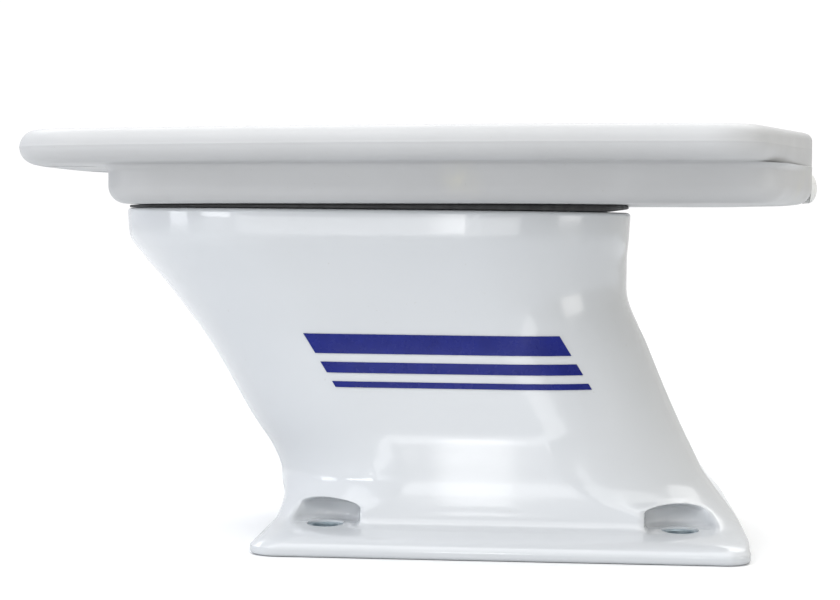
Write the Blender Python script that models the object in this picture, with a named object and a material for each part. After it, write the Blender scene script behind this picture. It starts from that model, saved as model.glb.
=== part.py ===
"""Forward-raked pedestal for a marine radar dome, with its modular top plate.

A hollow cast pedestal stands on a square base with four scalloped bolt pockets and
leans forward to an oval collar.  A round-edged plate, with a sunken pan on its
underside, lies on the collar over a rubber gasket, and the radar dome bolts to it.
The plate rests loose, its after end lifted a little, with its four bolts turned out.

Axes: +X aft, +Y to starboard, +Z up.  Origin: the deck, under the middle of the whole.
"""
import bpy
import bmesh
from math import cos, sin, tan, pi, radians, sqrt
from mathutils import Vector

# ---- driving dimensions (metres) ------------------------------------------------
GAP = 0.0002                 # clearance between pieces that touch

BASE_EDGE = 0.0032           # height at which the base is widest
BASE_BREAK = 0.0014          # rounding of the base's lower edge
PEDESTAL_HEIGHT = 0.1248
RIM_BREAK = 0.0008           # rounding of the collar's top edge
COLLAR_CENTRE_X = -0.0170

# Stations of the cast body: height, fore end, after end, half width, corner radius.
STATIONS = (
    (BASE_EDGE, -0.0572, 0.1230, 0.0900, 0.010),
    (0.0048, -0.0553, 0.1227, 0.0890, 0.011),
    (0.0064, -0.0531, 0.1229, 0.0855, 0.014),
    (0.0078, -0.0524, 0.1224, 0.0795, 0.018),
    (0.0092, -0.0515, 0.1219, 0.0742, 0.024),
    (0.0115, -0.0513, 0.1207, 0.0722, 0.031),
    (0.0150, -0.0510, 0.1180, 0.0713, 0.038),
    (0.0200, -0.0532, 0.1140, 0.0703, 0.049),
    (0.0260, -0.0549, 0.1097, 0.0696, 0.055),
    (0.0340, -0.0590, 0.1057, 0.0682, 0.056),
    (0.0430, -0.0655, 0.1012, 0.0672, 0.056),
    (0.0730, -0.0834, 0.0881, 0.0672, 0.056),
    (0.0960, -0.1007, 0.0793, 0.0705, 0.059),
    (0.1070, -0.1100, 0.0793, 0.0732, 0.061),
    (0.1145, -0.1149, 0.0799, 0.0750, 0.062),
    (PEDESTAL_HEIGHT, -0.1158, 0.0805, 0.0750, 0.062),
)
BODY_LEVELS = (0.0032, 0.0040, 0.0048, 0.0056, 0.0064, 0.0071, 0.0078, 0.0085, 0.0092, 0.0103,
               0.0115, 0.0132, 0.0150, 0.0175, 0.0220, 0.0270, 0.0330, 0.0400, 0.0480, 0.0580, 0.0690, 0.0800, 0.0900, 0.0990,
               0.1050, 0.1105, 0.1145)
CORNER_STEPS = 8             # facets round each corner of the body

WALL = 0.006                 # casting wall
FOOT_WALL = 0.0115           # thicker wall low down, behind the bolt pockets
FOOT_WALL_TOP = 0.024
FOOT_WALL_PLAN = 0.026        # the height whose outline that wall follows
CAVITY_TOP = 0.113           # underside of the pedestal's top web
CAVITY_LEVELS = (0.034, 0.043, 0.060, 0.080, 0.096, 0.107, CAVITY_TOP)
PASSAGE_LENGTH = 0.112       # cable opening through the top web
PASSAGE_WIDTH = 0.078
PASSAGE_CORNER = 0.034

BOLT_SPACING = 0.130         # deck bolts, square pattern
BOLT_CENTRE_X = 0.0335
BOLT_HOLE_R = 0.0048
SPOTFACE_R = 0.0069
SPOTFACE_DEPTH = 0.0007
POCKET_R = 0.0127
POCKET_FLOOR = 0.0092
POCKET_SHOULDER = 0.0148     # where the pocket's upright wall starts to round over
POCKET_CROWN = 0.0180
POCKET_REACH = 0.030          # how far its two sides run on outwards
POCKET_TIP = 0.001           # radius left at the very top of the crown

FIX_X = 0.070                # plate bolts, either side of the collar's centre
FIX_Y = 0.042
BOSS_R = 0.0110
BOSS_BOTTOM = 0.104
INSERT_R = 0.0060
INSERT_BORE_R = 0.0044
INSERT_LENGTH = 0.014

GASKET = 0.0008              # the gasket's thickness at its fore end
GASKET_TIP = 0.0012          # and at its after end, where it hangs clear of the collar
GASKET_BEND_X = 0.0700       # its underside leaves the collar here
PLATE_TILT = radians(0.53)   # the loose plate's after end stands this much high
PLATE_THICK = 0.027
FLANGE_THICK = 0.0126
BULLNOSE_R = FLANGE_THICK / 2
PAN_EDGE_R = 0.0065
AFT_TOP_R = 0.003
FLANGE_FILLET = 0.003        # hollow where the pan meets the flange
PLATE_END_X = 0.1487
PAN_FLOOR = 0.006
RECESS_DRAFT = 0.002         # the recess is this much wider at its mouth, each side

# Corners of the plate's plan, port half, bow to stern: x, y, reach of the curve.
FLANGE_CORNERS = (
    (-0.1520, -0.0400, 0.024),
    (-0.1430, -0.0840, 0.020),
    (-0.0080, -0.1180, 0.080),
    (0.1190, -0.1210, 0.020),
    (PLATE_END_X, -0.0310, 0.010),
)
PAN_CORNERS = (
    (-0.1168, -0.0350, 0.020),
    (-0.1128, -0.0780, 0.020),
    (-0.0080, -0.0900, 0.070),
    (0.1292, -0.0900, 0.014),
    (PLATE_END_X, -0.0310, 0.010),
)
RECESS_CORNERS = (
    (-0.1070, -0.0320, 0.018),
    (-0.1030, -0.0700, 0.018),
    (-0.0080, -0.0810, 0.060),
    (0.1160, -0.0810, 0.012),
    (0.1385, -0.0430, 0.010),
)
CURVE_STEPS = 6              # facets round each corner of the plan

DOME_SLOTS = ((-0.1335, 0.040), (0.0600, 0.1045))   # x, y of the dome's bolt slots
SLOT_R = 0.0042
SLOT_HALF = 0.0060           # half of the slot's straight run

SHANK_R = 0.0040             # plate bolts
SHANK_LENGTH = 0.025
HEAD_ACROSS_FLATS = 0.013
HEAD_HEIGHT = 0.0053
FLAT_WASHER = (0.0042, 0.0080, 0.0016)     # bore radius, radius, thickness
LOCK_WASHER = (0.0042, 0.0069, 0.0020)
BUSH_BORE_R = 0.0043
BUSH_SLEEVE_R = 0.0055
BUSH_COLLAR_R = 0.0085
BUSH_COLLAR = 0.0012
FIX_HOLE_R = 0.0058

GROMMET_HOLE_R = 0.0180      # cable grommet in the pan's floor
GROMMET_BORE_R = 0.0120
GROMMET_LIP = 0.0030
GROMMET_LIP_HEIGHT = 0.0022
GROMMET_LOWER_LIP = 0.0010

PORT_HALF_WIDTH = 0.0160     # cable exit in the plate's after wall, and its cover
PORT_HALF_HEIGHT = 0.0040
PORT_HEIGHT = -0.0205        # below the plate's top
COVER_LIP = 0.0017
COVER_PROUD = 0.0034
COVER_STEM = 0.0080

STRIPES = ((0.0755, 0.0072), (0.0668, 0.0040), (0.0606, 0.0022))  # middle height, width
STRIPE_FORE = -0.0380
STRIPE_AFT = 0.0560
STRIPE_SLANT = 0.62          # forward run of a stripe's ends for each unit of height
STRIPE_THICK = 0.0003
STRIPE_GAP = 0.0004          # clear of the facets behind the vinyl

ROUND = 24                   # facets round a hole, bolt or washer


# ---- scene, materials and mesh helpers --------------------------------------------
def clear_scene():
    for obj in list(bpy.data.objects):
        bpy.data.objects.remove(obj, do_unlink=True)


def material(name, colour, roughness, metallic=0.0):
    made = bpy.data.materials.new(name)
    made.use_nodes = True
    shader = made.node_tree.nodes["Principled BSDF"]
    shader.inputs["Base Color"].default_value = (*colour, 1.0)
    shader.inputs["Roughness"].default_value = roughness
    shader.inputs["Metallic"].default_value = metallic
    made.diffuse_color = (*colour, 1.0)
    return made


def add_object(name, bm, finish=None):
    """Turn a bmesh into a smooth-shaded object whose faces point outwards."""
    bmesh.ops.recalc_face_normals(bm, faces=bm.faces)
    mesh = bpy.data.meshes.new(name)
    bm.to_mesh(mesh)
    bm.free()
    mesh.shade_smooth()
    mesh.set_sharp_from_angle(angle=radians(35))
    obj = bpy.data.objects.new(name, mesh)
    bpy.context.scene.collection.objects.link(obj)
    if finish:
        mesh.materials.append(finish)
    return obj


def loft(rings):
    """A closed skin over rings of equal count, capped at both ends."""
    bm = bmesh.new()
    rows = [[bm.verts.new(point) for point in ring] for ring in rings]
    count = len(rows[0])
    for low, high in zip(rows, rows[1:]):
        for i in range(count):
            j = (i + 1) % count
            bm.faces.new((low[i], low[j], high[j], high[i]))
    bm.faces.new(reversed(rows[0]))
    bm.faces.new(rows[-1])
    return bm


def turned(profile, steps=ROUND):
    """A closed ring of revolution about Z from a closed (radius, height) outline."""
    bm = bmesh.new()
    count = len(profile)
    rows = []
    for k in range(steps):
        angle = 2 * pi * k / steps
        rows.append([bm.verts.new((r * cos(angle), r * sin(angle), z)) for r, z in profile])
    for k in range(steps):
        here, after = rows[k], rows[(k + 1) % steps]
        for i in range(count):
            j = (i + 1) % count
            bm.faces.new((here[i], after[i], after[j], here[j]))
    return bm


def circle(radius, z, steps=ROUND, x=0.0, y=0.0):
    return [Vector((x + radius * cos(2 * pi * k / steps),
                    y + radius * sin(2 * pi * k / steps), z)) for k in range(steps)]


def rounded_box(fore, aft, half, corner, z, steps=CORNER_STEPS):
    """Plan of a box with round corners, at height z."""
    centres = ((aft - corner, half - corner, 0), (fore + corner, half - corner, 1),
               (fore + corner, corner - half, 2), (aft - corner, corner - half, 3))
    ring = []
    for cx, cy, quarter in centres:
        for k in range(steps + 1):
            angle = pi / 2 * (quarter + k / steps)
            ring.append(Vector((cx + corner * cos(angle), cy + corner * sin(angle), z)))
    return ring


def slot_ring(half_run, radius, z, x=0.0, y=0.0, steps=6):
    """Plan of a slot with round ends, its run along X."""
    ring = []
    for side, start in ((1, -pi / 2), (-1, pi / 2)):
        for k in range(steps + 1):
            angle = start + pi * k / steps
            ring.append(Vector((x + side * half_run + radius * cos(angle),
                                y + radius * sin(angle), z)))
    return ring


def shrink(ring, amount, z):
    """The ring moved inwards by amount, square to its own edges, at height z."""
    count = len(ring)
    moved = []
    for i, point in enumerate(ring):
        along = ring[(i + 1) % count] - ring[i - 1]
        inward = Vector((-along.y, along.x, 0)).normalized()
        moved.append(Vector((point.x + inward.x * amount, point.y + inward.y * amount, z)))
    return moved


def cutter(name, bm):
    obj = add_object(name, bm)
    obj.display_type = 'WIRE'
    obj.hide_render = True
    return obj


def boolean(target, tool, operation='DIFFERENCE'):
    """Cut the tool from the target, or join it on; the tool then moves with it."""
    step = target.modifiers.new(tool.name, 'BOOLEAN')
    step.operation = operation
    step.object = tool
    step.solver = 'EXACT'
    tool.parent = target


def join_meshes(parts):
    """One bmesh that holds every bmesh in parts."""
    whole = bmesh.new()
    for part in parts:
        mesh = bpy.data.meshes.new("part")
        part.to_mesh(mesh)
        part.free()
        whole.from_mesh(mesh)
        bpy.data.meshes.remove(mesh)
    return whole


# ---- the pedestal's form ------------------------------------------------------------
def between(stations, z):
    """The station at height z, on smooth curves that never overshoot the stations."""
    heights = [row[0] for row in stations]
    z = min(max(z, heights[0]), heights[-1])
    last = max(i for i in range(len(heights) - 1) if heights[i] <= z)
    span = heights[last + 1] - heights[last]
    t = (z - heights[last]) / span
    values = []
    for column in range(1, len(stations[0])):
        rise = [(stations[i + 1][column] - stations[i][column]) / (heights[i + 1] - heights[i])
                for i in range(len(heights) - 1)]

        def slope(i):
            if i == 0 or i == len(heights) - 1:
                return rise[min(i, len(rise) - 1)]
            before, after = rise[i - 1], rise[i]
            return 0.0 if before * after <= 0 else 2 * before * after / (before + after)

        start, end = stations[last][column], stations[last + 1][column]
        values.append(start * (1 + 2 * t) * (1 - t) ** 2 + end * t * t * (3 - 2 * t)
                      + span * (slope(last) * t * (1 - t) ** 2 - slope(last + 1) * t * t * (1 - t)))
    return values


def body_ring(z, inset=0.0):
    fore, aft, half, corner = between(STATIONS, z)
    return rounded_box(fore + inset, aft - inset, half - inset, max(corner - inset, 0.001), z)


def flat_ring(ring, z):
    return [Vector((point.x, point.y, z)) for point in ring]


def body_form():
    """Outer skin: a square base edge, a swept foot, the raked body and the collar."""
    rings = [flat_ring(body_ring(BASE_EDGE, inset), rise) for inset, rise in quarter(2, BASE_BREAK)]
    rings += [body_ring(z) for z in BODY_LEVELS]
    rings.append(body_ring(PEDESTAL_HEIGHT - RIM_BREAK))
    rings.append(body_ring(PEDESTAL_HEIGHT, RIM_BREAK))
    return loft(rings)


def cavity_form():
    """The hollow inside, open through the bottom of the base."""
    low = body_ring(FOOT_WALL_PLAN, FOOT_WALL)
    rings = [flat_ring(low, -0.002), flat_ring(low, FOOT_WALL_TOP)]
    rings += [body_ring(z, WALL) for z in CAVITY_LEVELS]
    return loft(rings)


def passage_form():
    half_length, half_width = PASSAGE_LENGTH / 2, PASSAGE_WIDTH / 2
    rings = [rounded_box(COLLAR_CENTRE_X - half_length, COLLAR_CENTRE_X + half_length,
                         half_width, PASSAGE_CORNER, z, 6)
             for z in (CAVITY_TOP - 0.005, PEDESTAL_HEIGHT + 0.005)]
    return loft(rings)


def pocket_ring(radius, z, side):
    """Round behind the bolt, straight-sided out through the flank on that side."""
    out = Vector((0, side * POCKET_REACH, 0))
    return [p + out if p.y * side > 1e-6 else p for p in circle(radius, z)]


def pocket_form(side):
    """A bolt pocket: an upright wall under a crown that rounds over, open outwards."""
    rings = [pocket_ring(POCKET_R, POCKET_FLOOR, side)]
    for k in range(5):
        angle = pi / 2 * k / 5
        z = POCKET_SHOULDER + (POCKET_CROWN - POCKET_SHOULDER) * sin(angle)
        rings.append(pocket_ring(POCKET_R * cos(angle), z, side))
    rings.append(pocket_ring(POCKET_TIP, POCKET_CROWN, side))
    return loft(rings)


def bolt_hole_form():
    """A deck bolt hole with the bare spotface round its mouth."""
    seat = POCKET_FLOOR - SPOTFACE_DEPTH
    return loft([circle(BOLT_HOLE_R, -0.001), circle(BOLT_HOLE_R, seat),
                 circle(SPOTFACE_R, seat), circle(SPOTFACE_R, POCKET_FLOOR + 0.001)])


def deck_bolt_places():
    half = BOLT_SPACING / 2
    return [(BOLT_CENTRE_X + sx * half, sy * half) for sy in (-1, 1) for sx in (-1, 1)]


def plate_bolt_places():
    return [(COLLAR_CENTRE_X + sx * FIX_X, sy * FIX_Y) for sy in (-1, 1) for sx in (-1, 1)]


def moved(bm, x, y, z=0.0):
    bmesh.ops.translate(bm, verts=bm.verts, vec=(x, y, z))
    return bm


def make_pedestal(white):
    pedestal = add_object("pedestal_casting", body_form(), white)
    boolean(pedestal, cutter("cavity", cavity_form()))
    bosses = [moved(loft([circle(BOSS_R, BOSS_BOTTOM), circle(BOSS_R, CAVITY_TOP + 0.002)]), x, y)
              for x, y in plate_bolt_places()]
    boolean(pedestal, cutter("bosses", join_meshes(bosses)), 'UNION')
    boolean(pedestal, cutter("passage", passage_form()))
    pockets = [moved(pocket_form(1 if y > 0 else -1), x, y) for x, y in deck_bolt_places()]
    boolean(pedestal, cutter("pockets", join_meshes(pockets)))
    holes = [moved(bolt_hole_form(), x, y) for x, y in deck_bolt_places()]
    boolean(pedestal, cutter("bolt_holes", join_meshes(holes)))
    taps = [moved(loft([circle(INSERT_R + GAP, PEDESTAL_HEIGHT - INSERT_LENGTH - 2 * GAP),
                        circle(INSERT_R + GAP, PEDESTAL_HEIGHT + 0.002)]), x, y)
            for x, y in plate_bolt_places()]
    taps += [moved(loft([circle(INSERT_BORE_R, BOSS_BOTTOM - 0.002),
                         circle(INSERT_BORE_R, PEDESTAL_HEIGHT)]), x, y)
             for x, y in plate_bolt_places()]
    for number, tap in enumerate(taps, 1):
        boolean(pedestal, cutter(f"tap_{number}", tap))
    return pedestal


def make_inserts(steel):
    top = PEDESTAL_HEIGHT - GAP
    outline = ((INSERT_R, top - INSERT_LENGTH), (INSERT_R, top),
               (INSERT_BORE_R, top), (INSERT_BORE_R, top - INSERT_LENGTH))
    for number, (x, y) in enumerate(plate_bolt_places(), 1):
        add_object(f"thread_insert_{number}", moved(turned(outline), x, y), steel)


def port_face(x, z):
    """Y of the body's port face at (x, z)."""
    fore, aft, half, corner = between(STATIONS, z)
    past = max(fore + corner - x, x - (aft - corner), 0.0)
    return -(half - corner + sqrt(corner * corner - past * past))


def make_stripes(blue):
    """Three slanted stripes of vinyl on the port face, wide to narrow."""
    columns = 14
    for number, (middle, width) in enumerate(STRIPES, 1):
        rows = (middle - width / 2, middle, middle + width / 2)
        bm = bmesh.new()
        sheets = []
        for depth in (STRIPE_GAP, STRIPE_GAP + STRIPE_THICK):
            grid = []
            for z in rows:
                lean = STRIPE_SLANT * (z - STRIPES[0][0])
                run = [STRIPE_FORE - lean + (STRIPE_AFT - STRIPE_FORE) * k / columns
                       for k in range(columns + 1)]
                grid.append([bm.verts.new((x, port_face(x, z) - depth, z)) for x in run])
            sheets.append(grid)
        inner, outer = sheets
        for i in range(len(rows) - 1):
            for k in range(columns):
                bm.faces.new((outer[i][k], outer[i][k + 1], outer[i + 1][k + 1], outer[i + 1][k]))
                bm.faces.new((inner[i][k], inner[i + 1][k], inner[i + 1][k + 1], inner[i][k + 1]))
        for edge in (0, len(rows) - 1):
            for k in range(columns):
                bm.faces.new((inner[edge][k], inner[edge][k + 1],
                              outer[edge][k + 1], outer[edge][k]))
        for end in (0, columns):
            for i in range(len(rows) - 1):
                bm.faces.new((inner[i][end], outer[i][end], outer[i + 1][end], inner[i + 1][end]))
        add_object(f"side_stripe_{number}", bm, blue)


# ---- the top plate: all but its gasket is modelled level, with its top at z = 0 -------
def half_plan(corners):
    """Port half of a plan: each corner is a curve that reaches along its edges."""
    first = Vector((corners[0][0], 0.0))
    last = Vector((corners[-1][0], 0.0))
    stops = [first] + [Vector(corner[:2]) for corner in corners] + [last]
    points = []
    for before, here, after, corner in zip(stops, stops[1:], stops[2:], corners):
        start = here + (before - here).normalized() * corner[2]
        end = here + (after - here).normalized() * corner[2]
        for k in range(CURVE_STEPS + 1):
            t = k / CURVE_STEPS
            points.append(start * (1 - t) ** 2 + here * 2 * t * (1 - t) + end * t * t)
    return points


def full_plan(corners):
    """The whole plan, anticlockwise from the middle of the bow."""
    half = half_plan(corners)
    starboard = [Vector((point.x, -point.y)) for point in reversed(half)]
    return [Vector((point.x, point.y, 0.0)) for point in half + starboard]


def aft_share():
    """How much of the upright after wall each point of the plan takes, 0 to 1."""
    per_corner = CURVE_STEPS + 1
    half = [0.0] * (3 * per_corner)
    half += [0.5 * k / CURVE_STEPS for k in range(per_corner)]
    half += [0.95 + 0.05 * k / CURVE_STEPS for k in range(per_corner)]
    return half + half[::-1]


def quarter(steps, radius):
    """Offsets (inset, rise) round a quarter circle, from flat to upright."""
    return [(radius * (1 - sin(pi / 2 * k / steps)), radius * (1 - cos(pi / 2 * k / steps)))
            for k in range(steps + 1)]


def plate_form():
    """Bullnose flange over a set-back pan; both run into one upright wall aft."""
    flange = full_plan(FLANGE_CORNERS)
    pan = full_plan(PAN_CORNERS)
    share = aft_share()
    bottom, step, waist = -PLATE_THICK, -FLANGE_THICK, -BULLNOSE_R
    # each level: plan (0 pan .. 1 flange), bow inset and height, stern inset and height
    levels = [(0, inset, bottom + rise, inset, bottom + rise)
              for inset, rise in quarter(4, PAN_EDGE_R)]
    levels.append((0, -FLANGE_FILLET / 3, step - FLANGE_FILLET, 0.0, step - FLANGE_FILLET))
    levels.append((0, -FLANGE_FILLET, step - FLANGE_FILLET / 10, 0.0, step - FLANGE_FILLET / 2))
    rounding = quarter(4, BULLNOSE_R)
    levels.append((1, rounding[0][0] + 0.002, step, 0.0, step + 0.0002))
    levels += [(1, inset, step + rise, 0.0, step + 0.0014 + 0.0012 * k)
               for k, (inset, rise) in enumerate(rounding[1:-1])]
    levels.append((1, 0.0, waist, 0.0, -AFT_TOP_R - 0.001))
    top = quarter(4, AFT_TOP_R)[::-1]
    levels += [(1, inset, -rise, top[k + 1][0], -top[k + 1][1])
               for k, (inset, rise) in enumerate(rounding[-2::-1])]
    rings = []
    for plan, bow_inset, bow_z, stern_inset, stern_z in levels:
        outline = flange if plan else pan
        ring = []
        bow = shrink(outline, bow_inset, bow_z)
        stern = shrink(outline, stern_inset, stern_z)
        for one, other, part in zip(bow, stern, share):
            ring.append(one.lerp(other, part))
        rings.append(ring)
    return loft(rings)


def recess_form():
    """The pan's hollow, open on top, where the bolt heads and the cable lie."""
    plan = full_plan(RECESS_CORNERS)
    floor = PAN_FLOOR - PLATE_THICK
    return loft([shrink(plan, RECESS_DRAFT, floor), shrink(plan, 0.0, floor + RECESS_DRAFT),
                 shrink(plan, -RECESS_DRAFT, 0.002)])


def dome_slot_places():
    return [(x, side * y) for x, y in DOME_SLOTS for side in (-1, 1)]


def port_ring(x, grow=0.0):
    """The cable port's outline in the plane at x."""
    flat = slot_ring(PORT_HALF_WIDTH - PORT_HALF_HEIGHT, PORT_HALF_HEIGHT + grow, 0.0)
    return [Vector((x, point.x, PORT_HEIGHT + point.y)) for point in flat]


def make_top_plate(white):
    plate = add_object("top_plate", plate_form(), white)
    boolean(plate, cutter("recess", recess_form()))
    floor = -PLATE_THICK
    holes = [moved(loft([circle(FIX_HOLE_R, floor - 0.002),
                         circle(FIX_HOLE_R, floor + PAN_FLOOR + 0.002)]), x, y)
             for x, y in plate_bolt_places()]
    holes.append(moved(loft([circle(GROMMET_HOLE_R, floor - 0.002, 32),
                             circle(GROMMET_HOLE_R, floor + PAN_FLOOR + 0.002, 32)]),
                       COLLAR_CENTRE_X, 0.0))
    boolean(plate, cutter("floor_holes", join_meshes(holes)))
    slots = [loft([slot_ring(SLOT_HALF, SLOT_R, z, x, y) for z in (-FLANGE_THICK - 0.004, 0.002)])
             for x, y in dome_slot_places()]
    boolean(plate, cutter("dome_slots", join_meshes(slots)))
    port = loft([port_ring(x) for x in (PLATE_END_X - 0.016, PLATE_END_X + 0.002)])
    boolean(plate, cutter("cable_port", port))
    return plate


def collar_ring(inset):
    fore, aft, half, corner = between(STATIONS, PEDESTAL_HEIGHT)
    return rounded_box(fore + inset, aft - inset, half - inset, corner - inset, 0.0)


def gasket_heights(x):
    """Underside and top of the gasket at x: a wedge that fills the gap under the plate."""
    fore, aft = between(STATIONS, PEDESTAL_HEIGHT)[:2]
    seat = PEDESTAL_HEIGHT + GAP
    end = seat + GASKET + (aft - fore) * tan(PLATE_TILT)
    free = max(x - GASKET_BEND_X, 0.0) / (aft - GASKET_BEND_X)
    return seat + (end - GASKET_TIP - seat) * free, seat + GASKET + (x - fore) * tan(PLATE_TILT)


def make_gasket(rubber):
    """The rubber sheet, flat on the collar and tapered to meet the tilted plate."""
    outside = collar_ring(0.0008)
    half_length, half_width = PASSAGE_LENGTH / 2, PASSAGE_WIDTH / 2
    inside = rounded_box(COLLAR_CENTRE_X - half_length, COLLAR_CENTRE_X + half_length,
                         half_width, PASSAGE_CORNER, 0.0)
    bm = bmesh.new()
    rows = []
    for ring, top in ((outside, 0), (outside, 1), (inside, 1), (inside, 0)):
        rows.append([bm.verts.new((p.x, p.y, gasket_heights(p.x)[top])) for p in ring])
    count = len(outside)
    for k in range(4):
        low, high = rows[k], rows[(k + 1) % 4]
        for i in range(count):
            j = (i + 1) % count
            bm.faces.new((low[i], low[j], high[j], high[i]))
    bmesh.ops.triangulate(bm, faces=bm.faces)
    gasket = add_object("plate_gasket", bm, rubber)
    holes = [moved(loft([circle(FIX_HOLE_R, PEDESTAL_HEIGHT - 0.002),
                         circle(FIX_HOLE_R, PEDESTAL_HEIGHT + 0.008)]), x, y)
             for x, y in plate_bolt_places()]
    boolean(gasket, cutter("gasket_holes", join_meshes(holes)))


def washer_outline(bore, radius, low, thick):
    edge = min(thick, radius - bore) * 0.15
    return ((radius, low), (radius, low + thick - edge), (radius - edge, low + thick),
            (bore, low + thick), (bore, low))


def lock_washer_form(low):
    """A split spring washer: a square-section coil of almost one turn."""
    bore, radius, thick = LOCK_WASHER
    lift = 0.0004
    wire = thick - lift
    steps = ROUND
    opening = radians(8)
    rings = []
    for k in range(steps + 1):
        angle = opening / 2 + (2 * pi - opening) * k / steps
        base = low + lift * k / steps
        rings.append([Vector((r * cos(angle), r * sin(angle), z))
                      for r, z in ((bore, base), (radius, base),
                                   (radius, base + wire), (bore, base + wire))])
    return loft(rings)


def bolt_form(under_head):
    """A hexagon-head bolt, chamfered on top, with a pointed-off shank."""
    corner = HEAD_ACROSS_FLATS / sqrt(3)
    head_top = under_head + HEAD_HEIGHT
    chamfer = HEAD_HEIGHT * 0.14
    hexagon = loft([circle(corner, under_head, 6), circle(corner, head_top - chamfer, 6),
                    circle(corner * 0.88, head_top, 6)])
    tip = under_head - SHANK_LENGTH
    shank = loft([circle(SHANK_R * 0.8, tip), circle(SHANK_R, tip + SHANK_R * 0.25),
                  circle(SHANK_R, under_head + HEAD_HEIGHT * 0.3)])
    return hexagon, shank


def make_fixings(nylon, steel):
    """Each plate bolt with its flat washer, spring washer and shouldered bush."""
    pieces = []
    floor = PAN_FLOOR - PLATE_THICK
    bush_low = floor + GAP
    washer_low = bush_low + BUSH_COLLAR + GAP
    spring_low = washer_low + FLAT_WASHER[2] + GAP
    under_head = spring_low + LOCK_WASHER[2] + GAP
    sleeve_bottom = floor - PAN_FLOOR + GAP
    bush_outline = ((BUSH_COLLAR_R, bush_low), (BUSH_COLLAR_R, bush_low + BUSH_COLLAR),
                    (BUSH_BORE_R, bush_low + BUSH_COLLAR), (BUSH_BORE_R, sleeve_bottom),
                    (BUSH_SLEEVE_R, sleeve_bottom), (BUSH_SLEEVE_R, bush_low))
    flat_outline = washer_outline(FLAT_WASHER[0], FLAT_WASHER[1], washer_low, FLAT_WASHER[2])
    for number, (x, y) in enumerate(plate_bolt_places(), 1):
        pieces.append(add_object(f"isolator_bush_{number}", moved(turned(bush_outline), x, y),
                                 nylon))
        pieces.append(add_object(f"flat_washer_{number}", moved(turned(flat_outline), x, y),
                                 steel))
        pieces.append(add_object(f"lock_washer_{number}",
                                 moved(lock_washer_form(spring_low), x, y), steel))
        hexagon, shank = bolt_form(under_head)
        bolt = add_object(f"plate_bolt_{number}", moved(hexagon, x, y), steel)
        boolean(bolt, cutter(f"shank_{number}", moved(shank, x, y)), 'UNION')
        pieces.append(bolt)
    return pieces


def make_grommet(rubber):
    low, high = -PLATE_THICK, PAN_FLOOR - PLATE_THICK
    neck, lip = GROMMET_HOLE_R - GAP, GROMMET_HOLE_R + GROMMET_LIP
    bottom, top = low - GROMMET_LOWER_LIP, high + GROMMET_LIP_HEIGHT
    outline = ((GROMMET_BORE_R, bottom), (lip - 0.001, bottom), (lip, low - GAP),
               (neck, low - GAP), (neck, high + GAP), (lip, high + GAP),
               (lip - 0.001, top), (GROMMET_BORE_R, top))
    return add_object("cable_grommet", moved(turned(outline, 32), COLLAR_CENTRE_X, 0.0), rubber)


def make_port_cover(white):
    """Cover of the cable exit: a stem in the port under a round-nosed hood."""
    face = PLATE_END_X + GAP
    stem_end = PLATE_END_X - COVER_STEM
    reach = COVER_PROUD - GAP
    nose = COVER_LIP + PORT_HALF_HEIGHT
    rings = [port_ring(stem_end, -4 * GAP), port_ring(stem_end + 0.001, -GAP),
             port_ring(face, -GAP)]
    for k in range(6):
        angle = pi / 2 * k / 6
        rings.append(port_ring(face + reach * sin(angle), COVER_LIP - nose * (1 - cos(angle))))
    return add_object("cable_exit_cover", loft(rings), white)


def seat_on_collar(pieces):
    """Lay the plate's pieces on the collar, lifted aft about the collar's fore edge."""
    fore = between(STATIONS, PEDESTAL_HEIGHT)[0]
    hinge = bpy.data.objects.new("plate_frame", None)
    bpy.context.scene.collection.objects.link(hinge)
    hinge.location = (fore, 0.0, PEDESTAL_HEIGHT + GAP)
    hinge.rotation_euler = (0.0, -PLATE_TILT, 0.0)
    level = PLATE_THICK + GAP + GASKET
    for piece in pieces:
        piece.parent = hinge
        piece.location = (-fore, 0.0, level)


def main():
    clear_scene()
    gloss_white = material("gloss_white", (0.84, 0.85, 0.86), 0.18)
    satin_white = material("satin_white", (0.78, 0.78, 0.76), 0.42)
    rubber = material("black_rubber", (0.015, 0.015, 0.016), 0.62)
    nylon = material("natural_nylon", (0.80, 0.78, 0.70), 0.50)
    steel = material("stainless_steel", (0.62, 0.62, 0.63), 0.28, 1.0)
    blue = material("blue_vinyl", (0.012, 0.020, 0.200), 0.30)
    make_pedestal(gloss_white)
    make_inserts(steel)
    make_stripes(blue)
    make_gasket(rubber)
    plate_pieces = [make_top_plate(satin_white), make_grommet(rubber), make_port_cover(satin_white)]
    plate_pieces += make_fixings(nylon, steel)
    seat_on_collar(plate_pieces)


main()
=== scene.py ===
"""Looks of the forward-raked radar dome pedestal: fine meshes, finishes, light and camera.

Every fine mesh stands for the CAD node of the same piece and follows the same form, with
closer steps, rounded lips and the details of the finish. Axes: +X aft, +Z up, -Y to port.
"""

import bmesh
import bpy
import numpy as np
from math import cos, sin, tan, pi, radians, sqrt, hypot
from mathutils import Matrix, Vector


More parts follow.
